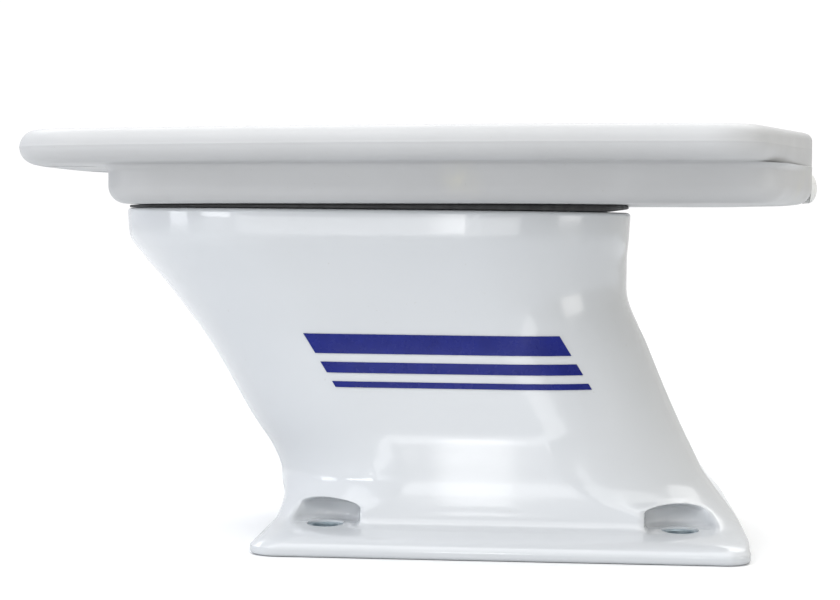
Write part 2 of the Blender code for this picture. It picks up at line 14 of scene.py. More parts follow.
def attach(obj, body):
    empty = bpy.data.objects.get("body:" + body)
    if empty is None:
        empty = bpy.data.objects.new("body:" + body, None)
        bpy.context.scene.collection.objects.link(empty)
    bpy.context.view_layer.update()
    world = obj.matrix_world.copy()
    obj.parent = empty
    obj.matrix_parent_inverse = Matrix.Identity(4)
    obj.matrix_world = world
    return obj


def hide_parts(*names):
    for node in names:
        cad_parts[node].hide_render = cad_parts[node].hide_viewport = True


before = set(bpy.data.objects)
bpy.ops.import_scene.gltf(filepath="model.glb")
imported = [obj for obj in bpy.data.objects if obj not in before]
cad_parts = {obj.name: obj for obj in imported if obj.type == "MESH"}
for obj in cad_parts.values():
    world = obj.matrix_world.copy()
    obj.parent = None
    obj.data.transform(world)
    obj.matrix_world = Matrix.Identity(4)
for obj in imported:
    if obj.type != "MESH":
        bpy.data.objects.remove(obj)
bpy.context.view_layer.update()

# ---- dimensions of the CAD model's forms (metres) ---------------------------------------
GAP = 0.0002
BASE_EDGE = 0.0032
BASE_BREAK = 0.0014
PEDESTAL_HEIGHT = 0.1248
RIM_BREAK = 0.0016
COLLAR_CENTRE_X = -0.0170

# Stations of the cast body: height, fore end, after end, half width, corner radius.
STATIONS = (
    (BASE_EDGE, -0.0572, 0.1230, 0.0900, 0.010),
    (0.0048, -0.0553, 0.1227, 0.0890, 0.011),
    (0.0064, -0.0531, 0.1229, 0.0855, 0.014),
    (0.0078, -0.0524, 0.1224, 0.0795, 0.018),
    (0.0092, -0.0515, 0.1219, 0.0742, 0.024),
    (0.0115, -0.0513, 0.1207, 0.0722, 0.031),
    (0.0150, -0.0510, 0.1180, 0.0713, 0.038),
    (0.0200, -0.0532, 0.1140, 0.0703, 0.049),
    (0.0260, -0.0549, 0.1097, 0.0696, 0.055),
    (0.0340, -0.0590, 0.1057, 0.0682, 0.056),
    (0.0430, -0.0655, 0.1012, 0.0672, 0.056),
    (0.0730, -0.0834, 0.0881, 0.0672, 0.056),
    (0.0960, -0.1007, 0.0793, 0.0705, 0.059),
    (0.1070, -0.1100, 0.0793, 0.0732, 0.061),
    (0.1145, -0.1149, 0.0799, 0.0750, 0.062),
    (PEDESTAL_HEIGHT, -0.1158, 0.0805, 0.0750, 0.062),
)
WALL = 0.006
FOOT_WALL = 0.0115
FOOT_WALL_TOP = 0.024
FOOT_WALL_PLAN = 0.026
CAVITY_TOP = 0.113
PASSAGE_LENGTH = 0.112
PASSAGE_WIDTH = 0.078
PASSAGE_CORNER = 0.034
BOLT_SPACING = 0.130
BOLT_CENTRE_X = 0.0335
BOLT_HOLE_R = 0.0048
SPOTFACE_R = 0.0069
SPOTFACE_DEPTH = 0.0007
POCKET_R = 0.0127
POCKET_FLOOR = 0.0092
POCKET_SHOULDER = 0.0148
POCKET_CROWN = 0.0180
POCKET_REACH = 0.030
FIX_X = 0.070
FIX_Y = 0.042
BOSS_R = 0.0110
BOSS_BOTTOM = 0.104
INSERT_R = 0.0060
INSERT_BORE_R = 0.0044
INSERT_LENGTH = 0.014

GASKET = 0.0008
GASKET_TIP = 0.0012
GASKET_BEND_X = 0.0700
PLATE_TILT = radians(0.53)
PLATE_THICK = 0.027
FLANGE_THICK = 0.0126
BULLNOSE_R = FLANGE_THICK / 2
PAN_EDGE_R = 0.0065
AFT_TOP_R = 0.003
FLANGE_FILLET = 0.003
PLATE_END_X = 0.1487
PAN_FLOOR = 0.006
RECESS_DRAFT = 0.002

# Corners of the plate's plan, port half, bow to stern: x, y, reach of the curve. The flange and
# the hood keep 0.01 to 0.1 mm inside the CAD model's, so that finer curves stay in its box.
FLANGE_CORNERS = (
    (-0.15199, -0.0400, 0.024),
    (-0.1430, -0.0840, 0.020),
    (-0.0080, -0.1180, 0.080),
    (0.1190, -0.12098, 0.020),
    (PLATE_END_X, -0.0310, 0.010),
)
PAN_CORNERS = (
    (-0.1168, -0.0350, 0.020),
    (-0.1128, -0.0780, 0.020),
    (-0.0080, -0.0900, 0.070),
    (0.1292, -0.0900, 0.014),
    (PLATE_END_X, -0.0310, 0.010),
)
RECESS_CORNERS = (
    (-0.1070, -0.0320, 0.018),
    (-0.1030, -0.0700, 0.018),
    (-0.0080, -0.0810, 0.060),
    (0.1160, -0.0810, 0.012),
    (0.1385, -0.0430, 0.010),
)
DOME_SLOTS = ((-0.1335, 0.040), (0.0600, 0.1045))     # x, y of the port ones
SLOT_R = 0.0042
SLOT_HALF = 0.0060
SHANK_R = 0.0040
SHANK_LENGTH = 0.025
HEAD_ACROSS_FLATS = 0.013
HEAD_HEIGHT = 0.0053
FLAT_WASHER = (0.0042, 0.0080, 0.0016)               # bore radius, radius, thickness
LOCK_WASHER = (0.0042, 0.0069, 0.0020)
BUSH_BORE_R = 0.0043
BUSH_SLEEVE_R = 0.0055
BUSH_COLLAR_R = 0.0085
BUSH_COLLAR = 0.0012
FIX_HOLE_R = 0.0058
GROMMET_HOLE_R = 0.0180
GROMMET_BORE_R = 0.0120
GROMMET_LIP = 0.0030
GROMMET_LIP_HEIGHT = 0.0022
GROMMET_LOWER_LIP = 0.0010
PORT_HALF_WIDTH = 0.0160
PORT_HALF_HEIGHT = 0.0040
PORT_HEIGHT = -0.0205
COVER_LIP = 0.0017
COVER_PROUD = 0.0033
COVER_STEM = 0.0080
STRIPES = ((0.0755, 0.0072), (0.0668, 0.0040), (0.0606, 0.0022))     # middle height, width
STRIPE_FORE = -0.0380
STRIPE_AFT = 0.0560
STRIPE_SLANT = 0.62
STRIPE_GAP = 0.0002
STRIPE_THICK = 0.0002

# ---- fineness of the visual meshes -------------------------------------------------------
CORNER_STEPS = 56            # steps round each corner of the body
FLAT_STEPS = 44              # steps along each straight of the body
PLAN_STEPS = 26              # steps round each corner of the plate
EDGE_STEPS = 14              # steps along each straight of the plate
ROUND = 72                   # steps round a hole, bolt or washer
LIP_R = 0.0024               # rounding of the bolt pockets' lips
SOFTENED = 0.006             # how far from a pocket its lip's rounding may reach
POCKET_FILLET = 0.0022       # rounding where a pocket's wall meets its floor
HOLE_BREAK = 0.0004          # chamfer at the mouth of a hole or slot
FOOT_TOP = 0.0300            # the skin's rings lie closer together below this
BASE_SIDE_TOP = 0.0025       # top of the base's upright edge
WEB_FILLET = 0.004           # rounding between the hollow's ceiling and wall
WALL_SPAN = (0.105, 0.034)   # the hollow's wall of even thickness, from top to bottom
HOLLOW_BREAK = 0.0008        # chamfer at the mouth of the hollow
RECESS_LIP = 0.0014          # rounding of the recess's top edge
RECESS_FILLET = 0.0030       # rounding between the recess's wall and floor
PARTING_RIDGE = 0.00012      # the flange's parting line stands this proud
GASKET_EDGE = 0.00022        # chamfer round the gasket
THREAD_PITCH = 0.00125
THREAD_DEPTH = 0.00045
INSERT_TURNS = 10            # grooves shown in a tapped bore
SEAM_LIFT = 0.0016           # the hood's moulding seam, above the port's middle
SEAM_DEPTH = 0.0003
SEAM_HALF = 0.00016


# ---- mesh helpers ------------------------------------------------------------------------
def new_object(name, verts, faces, smooth_angle=35):
    mesh = bpy.data.meshes.new(name)
    mesh.from_pydata([tuple(v) for v in verts], [], faces)
    mesh.validate()
    tidy_mesh(mesh, smooth_angle)
    obj = bpy.data.objects.new(name, mesh)
    bpy.context.scene.collection.objects.link(obj)
    return obj


def tidy_mesh(mesh, smooth_angle=35):
    """Faces point outwards and are smooth, except across sharp edges."""
    bm = bmesh.new()
    bm.from_mesh(mesh)
    bmesh.ops.recalc_face_normals(bm, faces=bm.faces)
    bm.to_mesh(mesh)
    bm.free()
    mesh.shade_smooth()
    mesh.set_sharp_from_angle(angle=radians(smooth_angle))


def loft(name, rings, closed=False, smooth_angle=35):
    """A skin over rings of equal count: capped at its ends, or closed on itself."""
    count = len(rings[0])
    verts = [point for ring in rings for point in ring]
    faces = []
    last = len(rings) if closed else len(rings) - 1
    for r in range(last):
        low, high = r * count, ((r + 1) % len(rings)) * count
        for i in range(count):
            j = (i + 1) % count
            faces.append((low + i, low + j, high + j, high + i))
    if not closed:
        faces.append(tuple(reversed(range(count))))
        faces.append(tuple(range((len(rings) - 1) * count, len(rings) * count)))
    return new_object(name, verts, faces, smooth_angle)


def circle(radius, z, x=0.0, y=0.0, steps=ROUND):
    return [Vector((x + radius * cos(2 * pi * k / steps), y + radius * sin(2 * pi * k / steps), z))
            for k in range(steps)]


def turned(name, profile, x=0.0, y=0.0, steps=ROUND, smooth_angle=35):
    """A ring of revolution about a vertical axis, from a closed (radius, height) outline."""
    return loft(name, [circle(r, z, x, y, steps) for r, z in profile], closed=True,
                smooth_angle=smooth_angle)


def drilled(name, rows, places, steps=ROUND):
    """The same round tool at every place, from (radius, height) rows."""
    return joined(name, [loft("tool", [circle(r, z, x, y, steps) for r, z in rows]) for x, y in places])


def quarter(radius, steps):
    """(inset, rise) from the foot of a rounded edge to its side."""
    angles = [pi / 2 * k / steps for k in range(steps + 1)]
    return [(radius * (1 - sin(angle)), radius * (1 - cos(angle))) for angle in angles]


def coat(obj, *materials):
    obj.data.materials.clear()
    for material in materials:
        obj.data.materials.append(material)
    return obj


def arc(centre, radius, start, end, steps):
    """Points (u, v) round an arc, angles in degrees."""
    return [(centre[0] + radius * cos(radians(start + (end - start) * k / steps)),
             centre[1] + radius * sin(radians(start + (end - start) * k / steps)))
            for k in range(steps + 1)]


def shrink(ring, amount, z):
    """The ring moved inwards by amount, square to its own edges, at height z."""
    count = len(ring)
    moved = []
    for i, point in enumerate(ring):
        along = ring[(i + 1) % count] - ring[i - 1]
        inward = Vector((-along.y, along.x, 0)).normalized()
        moved.append(Vector((point.x + inward.x * amount, point.y + inward.y * amount, z)))
    return moved


def cut(target, tools, operation='DIFFERENCE'):
    """Cut the tools from the target, or join them on, for good."""
    for tool in tools:
        step = target.modifiers.new(tool.name, 'BOOLEAN')
        step.operation = operation
        step.object = tool
        step.solver = 'EXACT'
    bpy.context.view_layer.update()
    evaluated = target.evaluated_get(bpy.context.evaluated_depsgraph_get())
    mesh = bpy.data.meshes.new_from_object(evaluated)
    old = target.data
    target.modifiers.clear()
    target.data = mesh
    bpy.data.meshes.remove(old)
    for tool in tools:
        bpy.data.objects.remove(tool, do_unlink=True)


def joined(name, objects):
    """One object that holds the meshes of all the objects given."""
    whole = bmesh.new()
    for obj in objects:
        whole.from_mesh(obj.data)
        bpy.data.objects.remove(obj, do_unlink=True)
    mesh = bpy.data.meshes.new(name)
    whole.to_mesh(mesh)
    whole.free()
    obj = bpy.data.objects.new(name, mesh)
    bpy.context.scene.collection.objects.link(obj)
    return obj


# ---- the pedestal's form -----------------------------------------------------------------
def station(z):
    """Fore, aft, half width and corner radius at height z, on curves that never overshoot."""
    heights = [row[0] for row in STATIONS]
    z = min(max(z, heights[0]), heights[-1])
    last = max(i for i in range(len(heights) - 1) if heights[i] <= z)
    span = heights[last + 1] - heights[last]
    t = (z - heights[last]) / span
    values = []
    for column in range(1, len(STATIONS[0])):
        rise = [(STATIONS[i + 1][column] - STATIONS[i][column]) / (heights[i + 1] - heights[i])
                for i in range(len(heights) - 1)]

        def slope(i):
            if i == 0 or i == len(heights) - 1:
                return rise[min(i, len(rise) - 1)]
            before, after = rise[i - 1], rise[i]
            return 0.0 if before * after <= 0 else 2 * before * after / (before + after)

        start, end = STATIONS[last][column], STATIONS[last + 1][column]
        values.append(start * (1 + 2 * t) * (1 - t) ** 2 + end * t * t * (3 - 2 * t)
                      + span * (slope(last) * t * (1 - t) ** 2 - slope(last + 1) * t * t * (1 - t)))
    return values


def rounded_box(fore, aft, half, corner, z):
    """Plan of a box with round corners and stepped straights, at height z."""
    centres = ((aft - corner, half - corner), (fore + corner, half - corner),
               (fore + corner, corner - half), (aft - corner, corner - half))
    ring = []
    for number, (cx, cy) in enumerate(centres):
        for k in range(CORNER_STEPS + 1):
            angle = pi / 2 * (number + k / CORNER_STEPS)
            ring.append(Vector((cx + corner * cos(angle), cy + corner * sin(angle), z)))
        nx, ny = centres[(number + 1) % 4]
        angle = pi / 2 * (number + 1)
        start = ring[-1]
        end = Vector((nx + corner * cos(angle), ny + corner * sin(angle), z))
        ring += [start.lerp(end, k / FLAT_STEPS) for k in range(1, FLAT_STEPS)]
    return ring


def body_ring(z, inset=0.0, height=None):
    fore, aft, half, corner = station(z)
    return rounded_box(fore + inset, aft - inset, half - inset, max(corner - inset, 0.001),
                       z if height is None else height)


def body_levels():
    """Heights of the skin's rings, closer together low down, where the foot sweeps out."""
    foot = list(np.linspace(BASE_EDGE, FOOT_TOP, 46))
    upper = list(np.linspace(FOOT_TOP, PEDESTAL_HEIGHT - RIM_BREAK, 44))[1:]
    return foot + upper


def passage_ring(z, inset=0.0):
    half_length, half_width = PASSAGE_LENGTH / 2 - inset, PASSAGE_WIDTH / 2 - inset
    return rounded_box(COLLAR_CENTRE_X - half_length, COLLAR_CENTRE_X + half_length, half_width,
                       PASSAGE_CORNER - inset, z)


def pedestal_rings():
    """The whole casting as one closed loft: skin, rim, passage, web, hollow and underside."""
    rings = [body_ring(BASE_EDGE, inset, rise) for inset, rise in quarter(BASE_BREAK, 5)]
    rings.append(body_ring(BASE_EDGE, 0.0, BASE_SIDE_TOP))
    rings += [body_ring(z) for z in body_levels()]
    rings += [body_ring(PEDESTAL_HEIGHT, inset, PEDESTAL_HEIGHT - drop)
              for drop, inset in quarter(RIM_BREAK, 5)[1:]]
    rings += [passage_ring(PEDESTAL_HEIGHT, -RIM_BREAK), passage_ring(PEDESTAL_HEIGHT - RIM_BREAK),
              passage_ring(CAVITY_TOP + RIM_BREAK), passage_ring(CAVITY_TOP, -RIM_BREAK)]
    rings += [body_ring(CAVITY_TOP - drop, WALL + inset) for inset, drop in quarter(WEB_FILLET, 4)]
    rings += [body_ring(z, WALL) for z in np.linspace(*WALL_SPAN, 20)]
    rings += [body_ring(FOOT_WALL_PLAN, FOOT_WALL, FOOT_WALL_TOP),
              body_ring(FOOT_WALL_PLAN, FOOT_WALL, HOLLOW_BREAK),
              body_ring(FOOT_WALL_PLAN, FOOT_WALL - HOLLOW_BREAK, 0.0)]
    return rings


def deck_bolt_places():
    half = BOLT_SPACING / 2
    return [(BOLT_CENTRE_X + sx * half, sy * half) for sy in (-1, 1) for sx in (-1, 1)]


def plate_bolt_places():
    return [(COLLAR_CENTRE_X + sx * FIX_X, sy * FIX_Y) for sy in (-1, 1) for sx in (-1, 1)]


def pocket_tool(x, y):
    """A bolt pocket as a solid, open outwards: floor, fillet, upright wall and rounded crown."""
    tip = 0.0004                                         # radius left at the middle
    profile = [(tip, POCKET_FLOOR), (POCKET_R * 0.45, POCKET_FLOOR)]
    profile += arc((POCKET_R - POCKET_FILLET, POCKET_FLOOR + POCKET_FILLET), POCKET_FILLET, -90, 0, 6)
    rise = POCKET_CROWN - POCKET_SHOULDER
    profile += [(POCKET_R * cos(pi / 2 * k / 18), POCKET_SHOULDER + rise * sin(pi / 2 * k / 18))
                for k in range(1, 18)]
    profile.append((tip, POCKET_CROWN))
    side = 1 if y > 0 else -1
    out = Vector((0, side * POCKET_REACH, 0))
    return loft("pocket", [[p + out if (p.y - y) * side > 1e-6 else p for p in circle(r, z, x, y, 96)]
                           for r, z in profile])


# The same forms as fields: below zero inside, and near the surface about a distance from it.
FIELD_Z = np.linspace(BASE_EDGE, PEDESTAL_HEIGHT, 1500)
FIELD_ROWS = np.array([station(z) for z in FIELD_Z])


def body_distance(p):
    fore, aft, half, corner = (np.interp(p[:, 2], FIELD_Z, FIELD_ROWS[:, c]) for c in range(4))
    qx = np.abs(p[:, 0] - (fore + aft) / 2) - ((aft - fore) / 2 - corner)
    qy = np.abs(p[:, 1]) - (half - corner)
    outside = np.hypot(np.maximum(qx, 0), np.maximum(qy, 0))
    return outside + np.minimum(np.maximum(qx, qy), 0) - corner


def gradient(field, p, step=5e-5):
    slopes = []
    for axis in range(3):
        shift = np.zeros(3)
        shift[axis] = step
        slopes.append((field(p + shift) - field(p - shift)) / (2 * step))
    return np.stack(slopes, axis=1)


def body_field(p):
    return body_distance(p) / np.maximum(np.linalg.norm(gradient(body_distance, p), axis=1), 0.2)


def round_both(a, b, radius):
    """Where both fields are below zero, with the edge between them rounded."""
    return (np.minimum(-radius, np.maximum(a, b))
            + np.hypot(np.maximum(radius + a, 0), np.maximum(radius + b, 0)))


def pocket_reach(p, x, y):
    """Distance in plan from the bolt, or from the line that runs on outwards from it."""
    return np.hypot(p[:, 0] - x, np.minimum((p[:, 1] - y) * np.sign(y), 0))


def pocket_field(p, x, y):
    reach = pocket_reach(p, x, y)
    lift = np.maximum(p[:, 2] - POCKET_SHOULDER, 0) / (POCKET_CROWN - POCKET_SHOULDER)
    side = (np.hypot(reach / POCKET_R, lift) - 1) * POCKET_R
    return round_both(side, POCKET_FLOOR - p[:, 2], POCKET_FILLET)


def soften_pockets(obj):
    """Move the points near each pocket's lip on to a rounded edge."""
    mesh = obj.data
    points = np.empty(len(mesh.vertices) * 3)
    mesh.vertices.foreach_get("co", points)
    points = points.reshape(-1, 3)
    height = points[:, 2].copy()
    low, high = POCKET_FLOOR - 0.003, POCKET_CROWN + SOFTENED
    for x, y in deck_bolt_places():
        reach = pocket_reach(points, x, y)
        near = np.where((reach < POCKET_R + SOFTENED) & (height > low) & (height < high))[0]

        def remains(p):
            return round_both(body_field(p), -pocket_field(p, x, y), LIP_R)

        moving = points[near]
        skin = np.abs(remains(moving)) < 0.002           # leaves the hollow's own wall alone
        near, moving = near[skin], moving[skin]
        for _ in range(6):
            slope = gradient(remains, moving)
            step = remains(moving) / np.maximum((slope ** 2).sum(axis=1), 0.05)
            moving = moving - np.clip(step, -0.0006, 0.0006)[:, None] * slope
        points[near] = moving
    mesh.vertices.foreach_set("co", points.ravel())
    mesh.update()


def make_pedestal():
    shell = loft("pedestal_shell", pedestal_rings(), closed=True)
    cut(shell, [joined("pockets", [pocket_tool(x, y) for x, y in deck_bolt_places()])])
    soften_pockets(shell)
    seat = POCKET_FLOOR - SPOTFACE_DEPTH
    broken = BOLT_HOLE_R + HOLE_BREAK
    cut(shell, [drilled("holes", ((broken, -0.0010), (broken, 0.0), (BOLT_HOLE_R, HOLE_BREAK),
                                  (BOLT_HOLE_R, seat - HOLE_BREAK), (broken, seat), (SPOTFACE_R, seat),
                                  (SPOTFACE_R, POCKET_FLOOR + 0.001)), deck_bolt_places())])
    cut(shell, [drilled("bosses", ((BOSS_R - 0.001, BOSS_BOTTOM), (BOSS_R, BOSS_BOTTOM + 0.001),
                                   (BOSS_R, CAVITY_TOP + 0.002)), plate_bolt_places())], 'UNION')
    ledge = PEDESTAL_HEIGHT - INSERT_LENGTH - 2 * GAP
    bore = INSERT_R + GAP
    cut(shell, [drilled("taps", ((INSERT_BORE_R, BOSS_BOTTOM - 0.002), (INSERT_BORE_R, ledge), (bore, ledge),
                                 (bore, PEDESTAL_HEIGHT - HOLE_BREAK), (bore + HOLE_BREAK, PEDESTAL_HEIGHT),
                                 (bore + HOLE_BREAK, PEDESTAL_HEIGHT + 0.002)), plate_bolt_places())])
    tidy_mesh(shell.data, 40)
    coat(shell, GLOSS_WHITE, BARE_METAL)
    for face in shell.data.polygons:                     # the spotfaces and bolt holes are bare
        centre = face.center
        near = min(hypot(centre.x - x, centre.y - y) for x, y in deck_bolt_places())
        if near < SPOTFACE_R + 0.00005 and centre.z < seat + 0.00005:
            face.material_index = 1
    return shell


def make_insert(number, x, y):
    top = PEDESTAL_HEIGHT - GAP
    low = top - INSERT_LENGTH
    bevel = 0.0004
    profile = [(INSERT_R - bevel, low), (INSERT_R, low + bevel), (INSERT_R, top - bevel),
               (INSERT_R - bevel, top), (INSERT_BORE_R + bevel, top)]
    for k in range(INSERT_TURNS):                        # the tapped bore, as V grooves
        z = top - bevel - (INSERT_LENGTH - 2 * bevel) * k / INSERT_TURNS
        profile.append((INSERT_BORE_R, z))
        profile.append((INSERT_BORE_R + 0.0004, z - (INSERT_LENGTH - 2 * bevel) / INSERT_TURNS / 2))
    profile.append((INSERT_BORE_R, low + bevel))
    profile.append((INSERT_BORE_R + bevel, low))
    return coat(turned(f"insert_{number}", profile, x, y, smooth_angle=25), STEEL)


def port_face(x, z):
    """Y of the body's port face at (x, z)."""
    fore, aft, half, corner = station(z)
    past = max(fore + corner - x, x - (aft - corner), 0.0)
    return -(half - corner + sqrt(corner * corner - past * past))


def make_stripe(number, middle, width):
    """One slanted stripe of vinyl, laid on the port face."""
    columns, rows = 90, 6
    heights = [middle + width * (k / rows - 0.5) for k in range(rows + 1)]
    verts, faces = [], []
    for depth in (STRIPE_GAP, STRIPE_GAP + STRIPE_THICK):
        for z in heights:
            lean = STRIPE_SLANT * (z - STRIPES[0][0])
            for k in range(columns + 1):
                x = STRIPE_FORE - lean + (STRIPE_AFT - STRIPE_FORE) * k / columns
                verts.append(Vector((x, port_face(x, z) - depth, z)))
    sheet = (rows + 1) * (columns + 1)

    def at(side, row, column):
        return side * sheet + row * (columns + 1) + column

    for i in range(rows):
        for k in range(columns):
            faces.append((at(1, i, k), at(1, i, k + 1), at(1, i + 1, k + 1), at(1, i + 1, k)))
            faces.append((at(0, i, k), at(0, i + 1, k), at(0, i + 1, k + 1), at(0, i, k + 1)))
    for i in (0, rows):
        for k in range(columns):
            faces.append((at(0, i, k), at(0, i, k + 1), at(1, i, k + 1), at(1, i, k)))
    for k in (0, columns):
        for i in range(rows):
            faces.append((at(0, i, k), at(1, i, k), at(1, i + 1, k), at(0, i + 1, k)))
    return coat(new_object(f"stripe_{number}", verts, faces), BLUE_VINYL)


# ---- the top plate: all but its gasket is modelled level, with its top at z = 0 ----------
def half_plan(corners):
    """Port half of a plan, and how much of the upright after wall each point takes."""
    first = Vector((corners[0][0], 0.0))
    last = Vector((corners[-1][0], 0.0))
    stops = [first] + [Vector(corner[:2]) for corner in corners] + [last]
    turn_share = ((0, 0), (0, 0), (0, 0), (0, 0.5), (0.95, 1.0))
    points, share = [], []
    previous, level = first, 0.0
    for before, here, after, corner, part in zip(stops, stops[1:], stops[2:], corners, turn_share):
        start = here + (before - here).normalized() * corner[2]
        end = here + (after - here).normalized() * corner[2]
        for k in range(EDGE_STEPS):
            points.append(previous.lerp(start, k / EDGE_STEPS))
            share.append(level + (part[0] - level) * k / EDGE_STEPS)
        for k in range(PLAN_STEPS):
            t = k / PLAN_STEPS
            points.append(start * (1 - t) ** 2 + here * 2 * t * (1 - t) + end * t * t)
            share.append(part[0] + (part[1] - part[0]) * t)
        previous, level = end, part[1]
    for k in range(EDGE_STEPS):
        points.append(previous.lerp(last, k / EDGE_STEPS))
        share.append(1.0)
    return points[1:], share[1:]


def full_plan(corners):
    """The whole plan, anticlockwise from the middle of the bow."""
    half, share = half_plan(corners)
    first, last = Vector((corners[0][0], 0.0)), Vector((corners[-1][0], 0.0))
    starboard = [Vector((point.x, -point.y)) for point in reversed(half)]
    plan = [first] + half + [last] + starboard
    shares = [0.0] + share + [1.0] + share[::-1]
    return [Vector((point.x, point.y, 0.0)) for point in plan], shares


def plate_rings():
    """Pan, flange, top face and recess as one skin; pan and flange run into one wall aft."""
    flange, share = full_plan(FLANGE_CORNERS)
    pan, _ = full_plan(PAN_CORNERS)
    recess, _ = full_plan(RECESS_CORNERS)
    bottom, step, waist = -PLATE_THICK, -FLANGE_THICK, -BULLNOSE_R
    # each level: plan, bow inset and height, stern inset and height
    levels = [(pan, inset, bottom + rise, inset, bottom + rise) for inset, rise in quarter(PAN_EDGE_R, 10)]
    upright = step - FLANGE_FILLET                       # aft, the rows just climb one flat wall
    for k, (left, out) in enumerate(quarter(FLANGE_FILLET, 6)):
        levels.append((pan, -out, step - left, 0.0, upright + 0.0028 * k / 6))
    nose = quarter(BULLNOSE_R, 12)
    levels.append((flange, BULLNOSE_R + 0.002, step, 0.0, step + 0.0002))
    for k, (inset, rise) in enumerate(nose[:-1]):
        levels.append((flange, inset + PARTING_RIDGE, step + rise, 0.0, step + 0.0006 + 0.0056 * k / 12))
    for offset, sunk in ((-0.0004, 1), (-0.00012, 0), (0.00012, 0), (0.0004, 1)):
        levels.append((flange, sunk * PARTING_RIDGE, waist + offset,
                       sunk * PARTING_RIDGE * 0.3, waist + offset * 0.5))
    for (inset, drop), (stern_inset, stern_drop) in reversed(list(zip(nose, quarter(AFT_TOP_R, 12)))[:-1]):
        levels.append((flange, inset + PARTING_RIDGE, -drop, stern_inset, -stern_drop))
    rings = []
    for plan, bow_inset, bow_z, stern_inset, stern_z in levels:
        bow = shrink(plan, bow_inset, bow_z)
        after = shrink(plan, stern_inset, stern_z)
        rings.append([one.lerp(other, part) for one, other, part in zip(bow, after, share)])
    floor = PAN_FLOOR - PLATE_THICK
    rings += [shrink(recess, -RECESS_DRAFT - out, -drop) for out, drop in quarter(RECESS_LIP, 5)]
    rings += [shrink(recess, inset, floor + rise) for rise, inset in quarter(RECESS_FILLET, 8)]
    return rings


def slot_ring(half_run, radius, z, x=0.0, y=0.0, steps=24):
    """Plan of a slot with round ends, its run along X."""
    ring = []
    for side, start in ((1, -pi / 2), (-1, pi / 2)):
        for k in range(steps + 1):
            angle = start + pi * k / steps
            ring.append(Vector((x + side * half_run + radius * cos(angle),
                                y + radius * sin(angle), z)))
    return ring


def port_ring(x, grow=0.0, lift=0.0):
    """The cable port's outline in the plane at x."""
    flat = slot_ring(PORT_HALF_WIDTH - PORT_HALF_HEIGHT, PORT_HALF_HEIGHT + grow, 0.0)
    return [Vector((x, point.x, PORT_HEIGHT + lift + point.y)) for point in flat]


def make_plate():
    plate = loft("top_plate_shell", plate_rings())
    bottom, floor = -PLATE_THICK, PAN_FLOOR - PLATE_THICK
    under, over = bottom - 0.002, floor + 0.002
    holes = [drilled("holes", ((FIX_HOLE_R, under), (FIX_HOLE_R, over)), plate_bolt_places()),
             drilled("hole", ((GROMMET_HOLE_R, under), (GROMMET_HOLE_R, over)), [(COLLAR_CENTRE_X, 0.0)], 96)]
    rows = ((SLOT_R + HOLE_BREAK + 0.004, -FLANGE_THICK - 0.004), (SLOT_R + HOLE_BREAK, -FLANGE_THICK),
            (SLOT_R, -FLANGE_THICK + HOLE_BREAK), (SLOT_R, -HOLE_BREAK * 2),
            (SLOT_R + HOLE_BREAK * 2, 0.0), (SLOT_R + HOLE_BREAK * 2, 0.002))
    for x, y in [(x, side * y) for x, y in DOME_SLOTS for side in (-1, 1)]:
        holes.append(loft("hole", [slot_ring(SLOT_HALF, r, z, x, y) for r, z in rows]))
    cut(plate, [joined("plate_holes", holes)])
    cut(plate, [loft("port", [port_ring(x) for x in (PLATE_END_X - 0.016, PLATE_END_X + 0.002)])])
    tidy_mesh(plate.data, 40)
    return coat(plate, SATIN_WHITE)


def make_gasket_with_gap_shade():
    """A rubber sheet, flat on the collar and tapered to meet the tilted plate. Above a thin real gasket, its
    growing thickness up to the bend is painted shade: black rubber that fills the shaded gap between collar
    and plate. Aft of the bend it lifts off the collar.
    """
    fore, aft, half, corner = station(PEDESTAL_HEIGHT)
    seat = PEDESTAL_HEIGHT + GAP
    end = seat + GASKET + (aft - fore) * tan(PLATE_TILT)
    edge, margin = GASKET_EDGE, 0.0008

    def lay_on(ring, face, off):
        placed = []
        for point in ring:
            free = max(point.x - GASKET_BEND_X, 0.0) / (aft - GASKET_BEND_X)
            low = seat + (end - GASKET_TIP - seat) * free
            # the top follows the tilted plate, so up to the bend the black rubber fills the gap as painted
            # shade
            high = seat + GASKET + (point.x - fore) * tan(PLATE_TILT)
            placed.append(Vector((point.x, point.y, high - off if face else low + off)))
        return placed

    rings = []
    for inset, face, off in ((margin + edge, 0, 0), (margin, 0, edge), (margin, 1, edge),
                             (margin + edge, 1, 0)):
        outline = rounded_box(fore + inset, aft - inset, half - inset, corner - inset, 0.0)
        rings.append(lay_on(outline, face, off))
    for inset, face, off in ((-edge, 1, 0), (0.0, 1, edge), (0.0, 0, edge), (-edge, 0, 0)):
        rings.append(lay_on(passage_ring(0.0, inset), face, off))
    gasket = loft("gasket_with_gap_shade", rings, closed=True, smooth_angle=50)
    cut(gasket, [drilled("gasket_holes", ((FIX_HOLE_R, PEDESTAL_HEIGHT - 0.002),
                                          (FIX_HOLE_R, PEDESTAL_HEIGHT + 0.008)), plate_bolt_places())])
    return coat(gasket, RUBBER)


def make_grommet():
    low, high = -PLATE_THICK, PAN_FLOOR - PLATE_THICK
    neck, lip = GROMMET_HOLE_R - GAP, GROMMET_HOLE_R + GROMMET_LIP
    bottom, top = low - GROMMET_LOWER_LIP, high + GROMMET_LIP_HEIGHT
    soft, crisp = 0.0007, 0.0004                         # edge radii above and below the plate
    profile = arc((GROMMET_BORE_R + crisp, bottom + crisp), crisp, 180, 270, 4)
    profile += arc((lip - crisp, bottom + crisp), crisp, 270, 360, 4)
    profile += [(lip - 0.0001, low - GAP), (neck, low - GAP), (neck, high + GAP), (lip - 0.0002, high + GAP)]
    profile += arc((lip - soft, top - soft), soft, 0, 90, 6)
    profile += arc((GROMMET_BORE_R + soft, top - soft), soft, 90, 180, 6)
    return coat(turned("grommet_ring", profile, COLLAR_CENTRE_X, 0.0, 96), RUBBER)


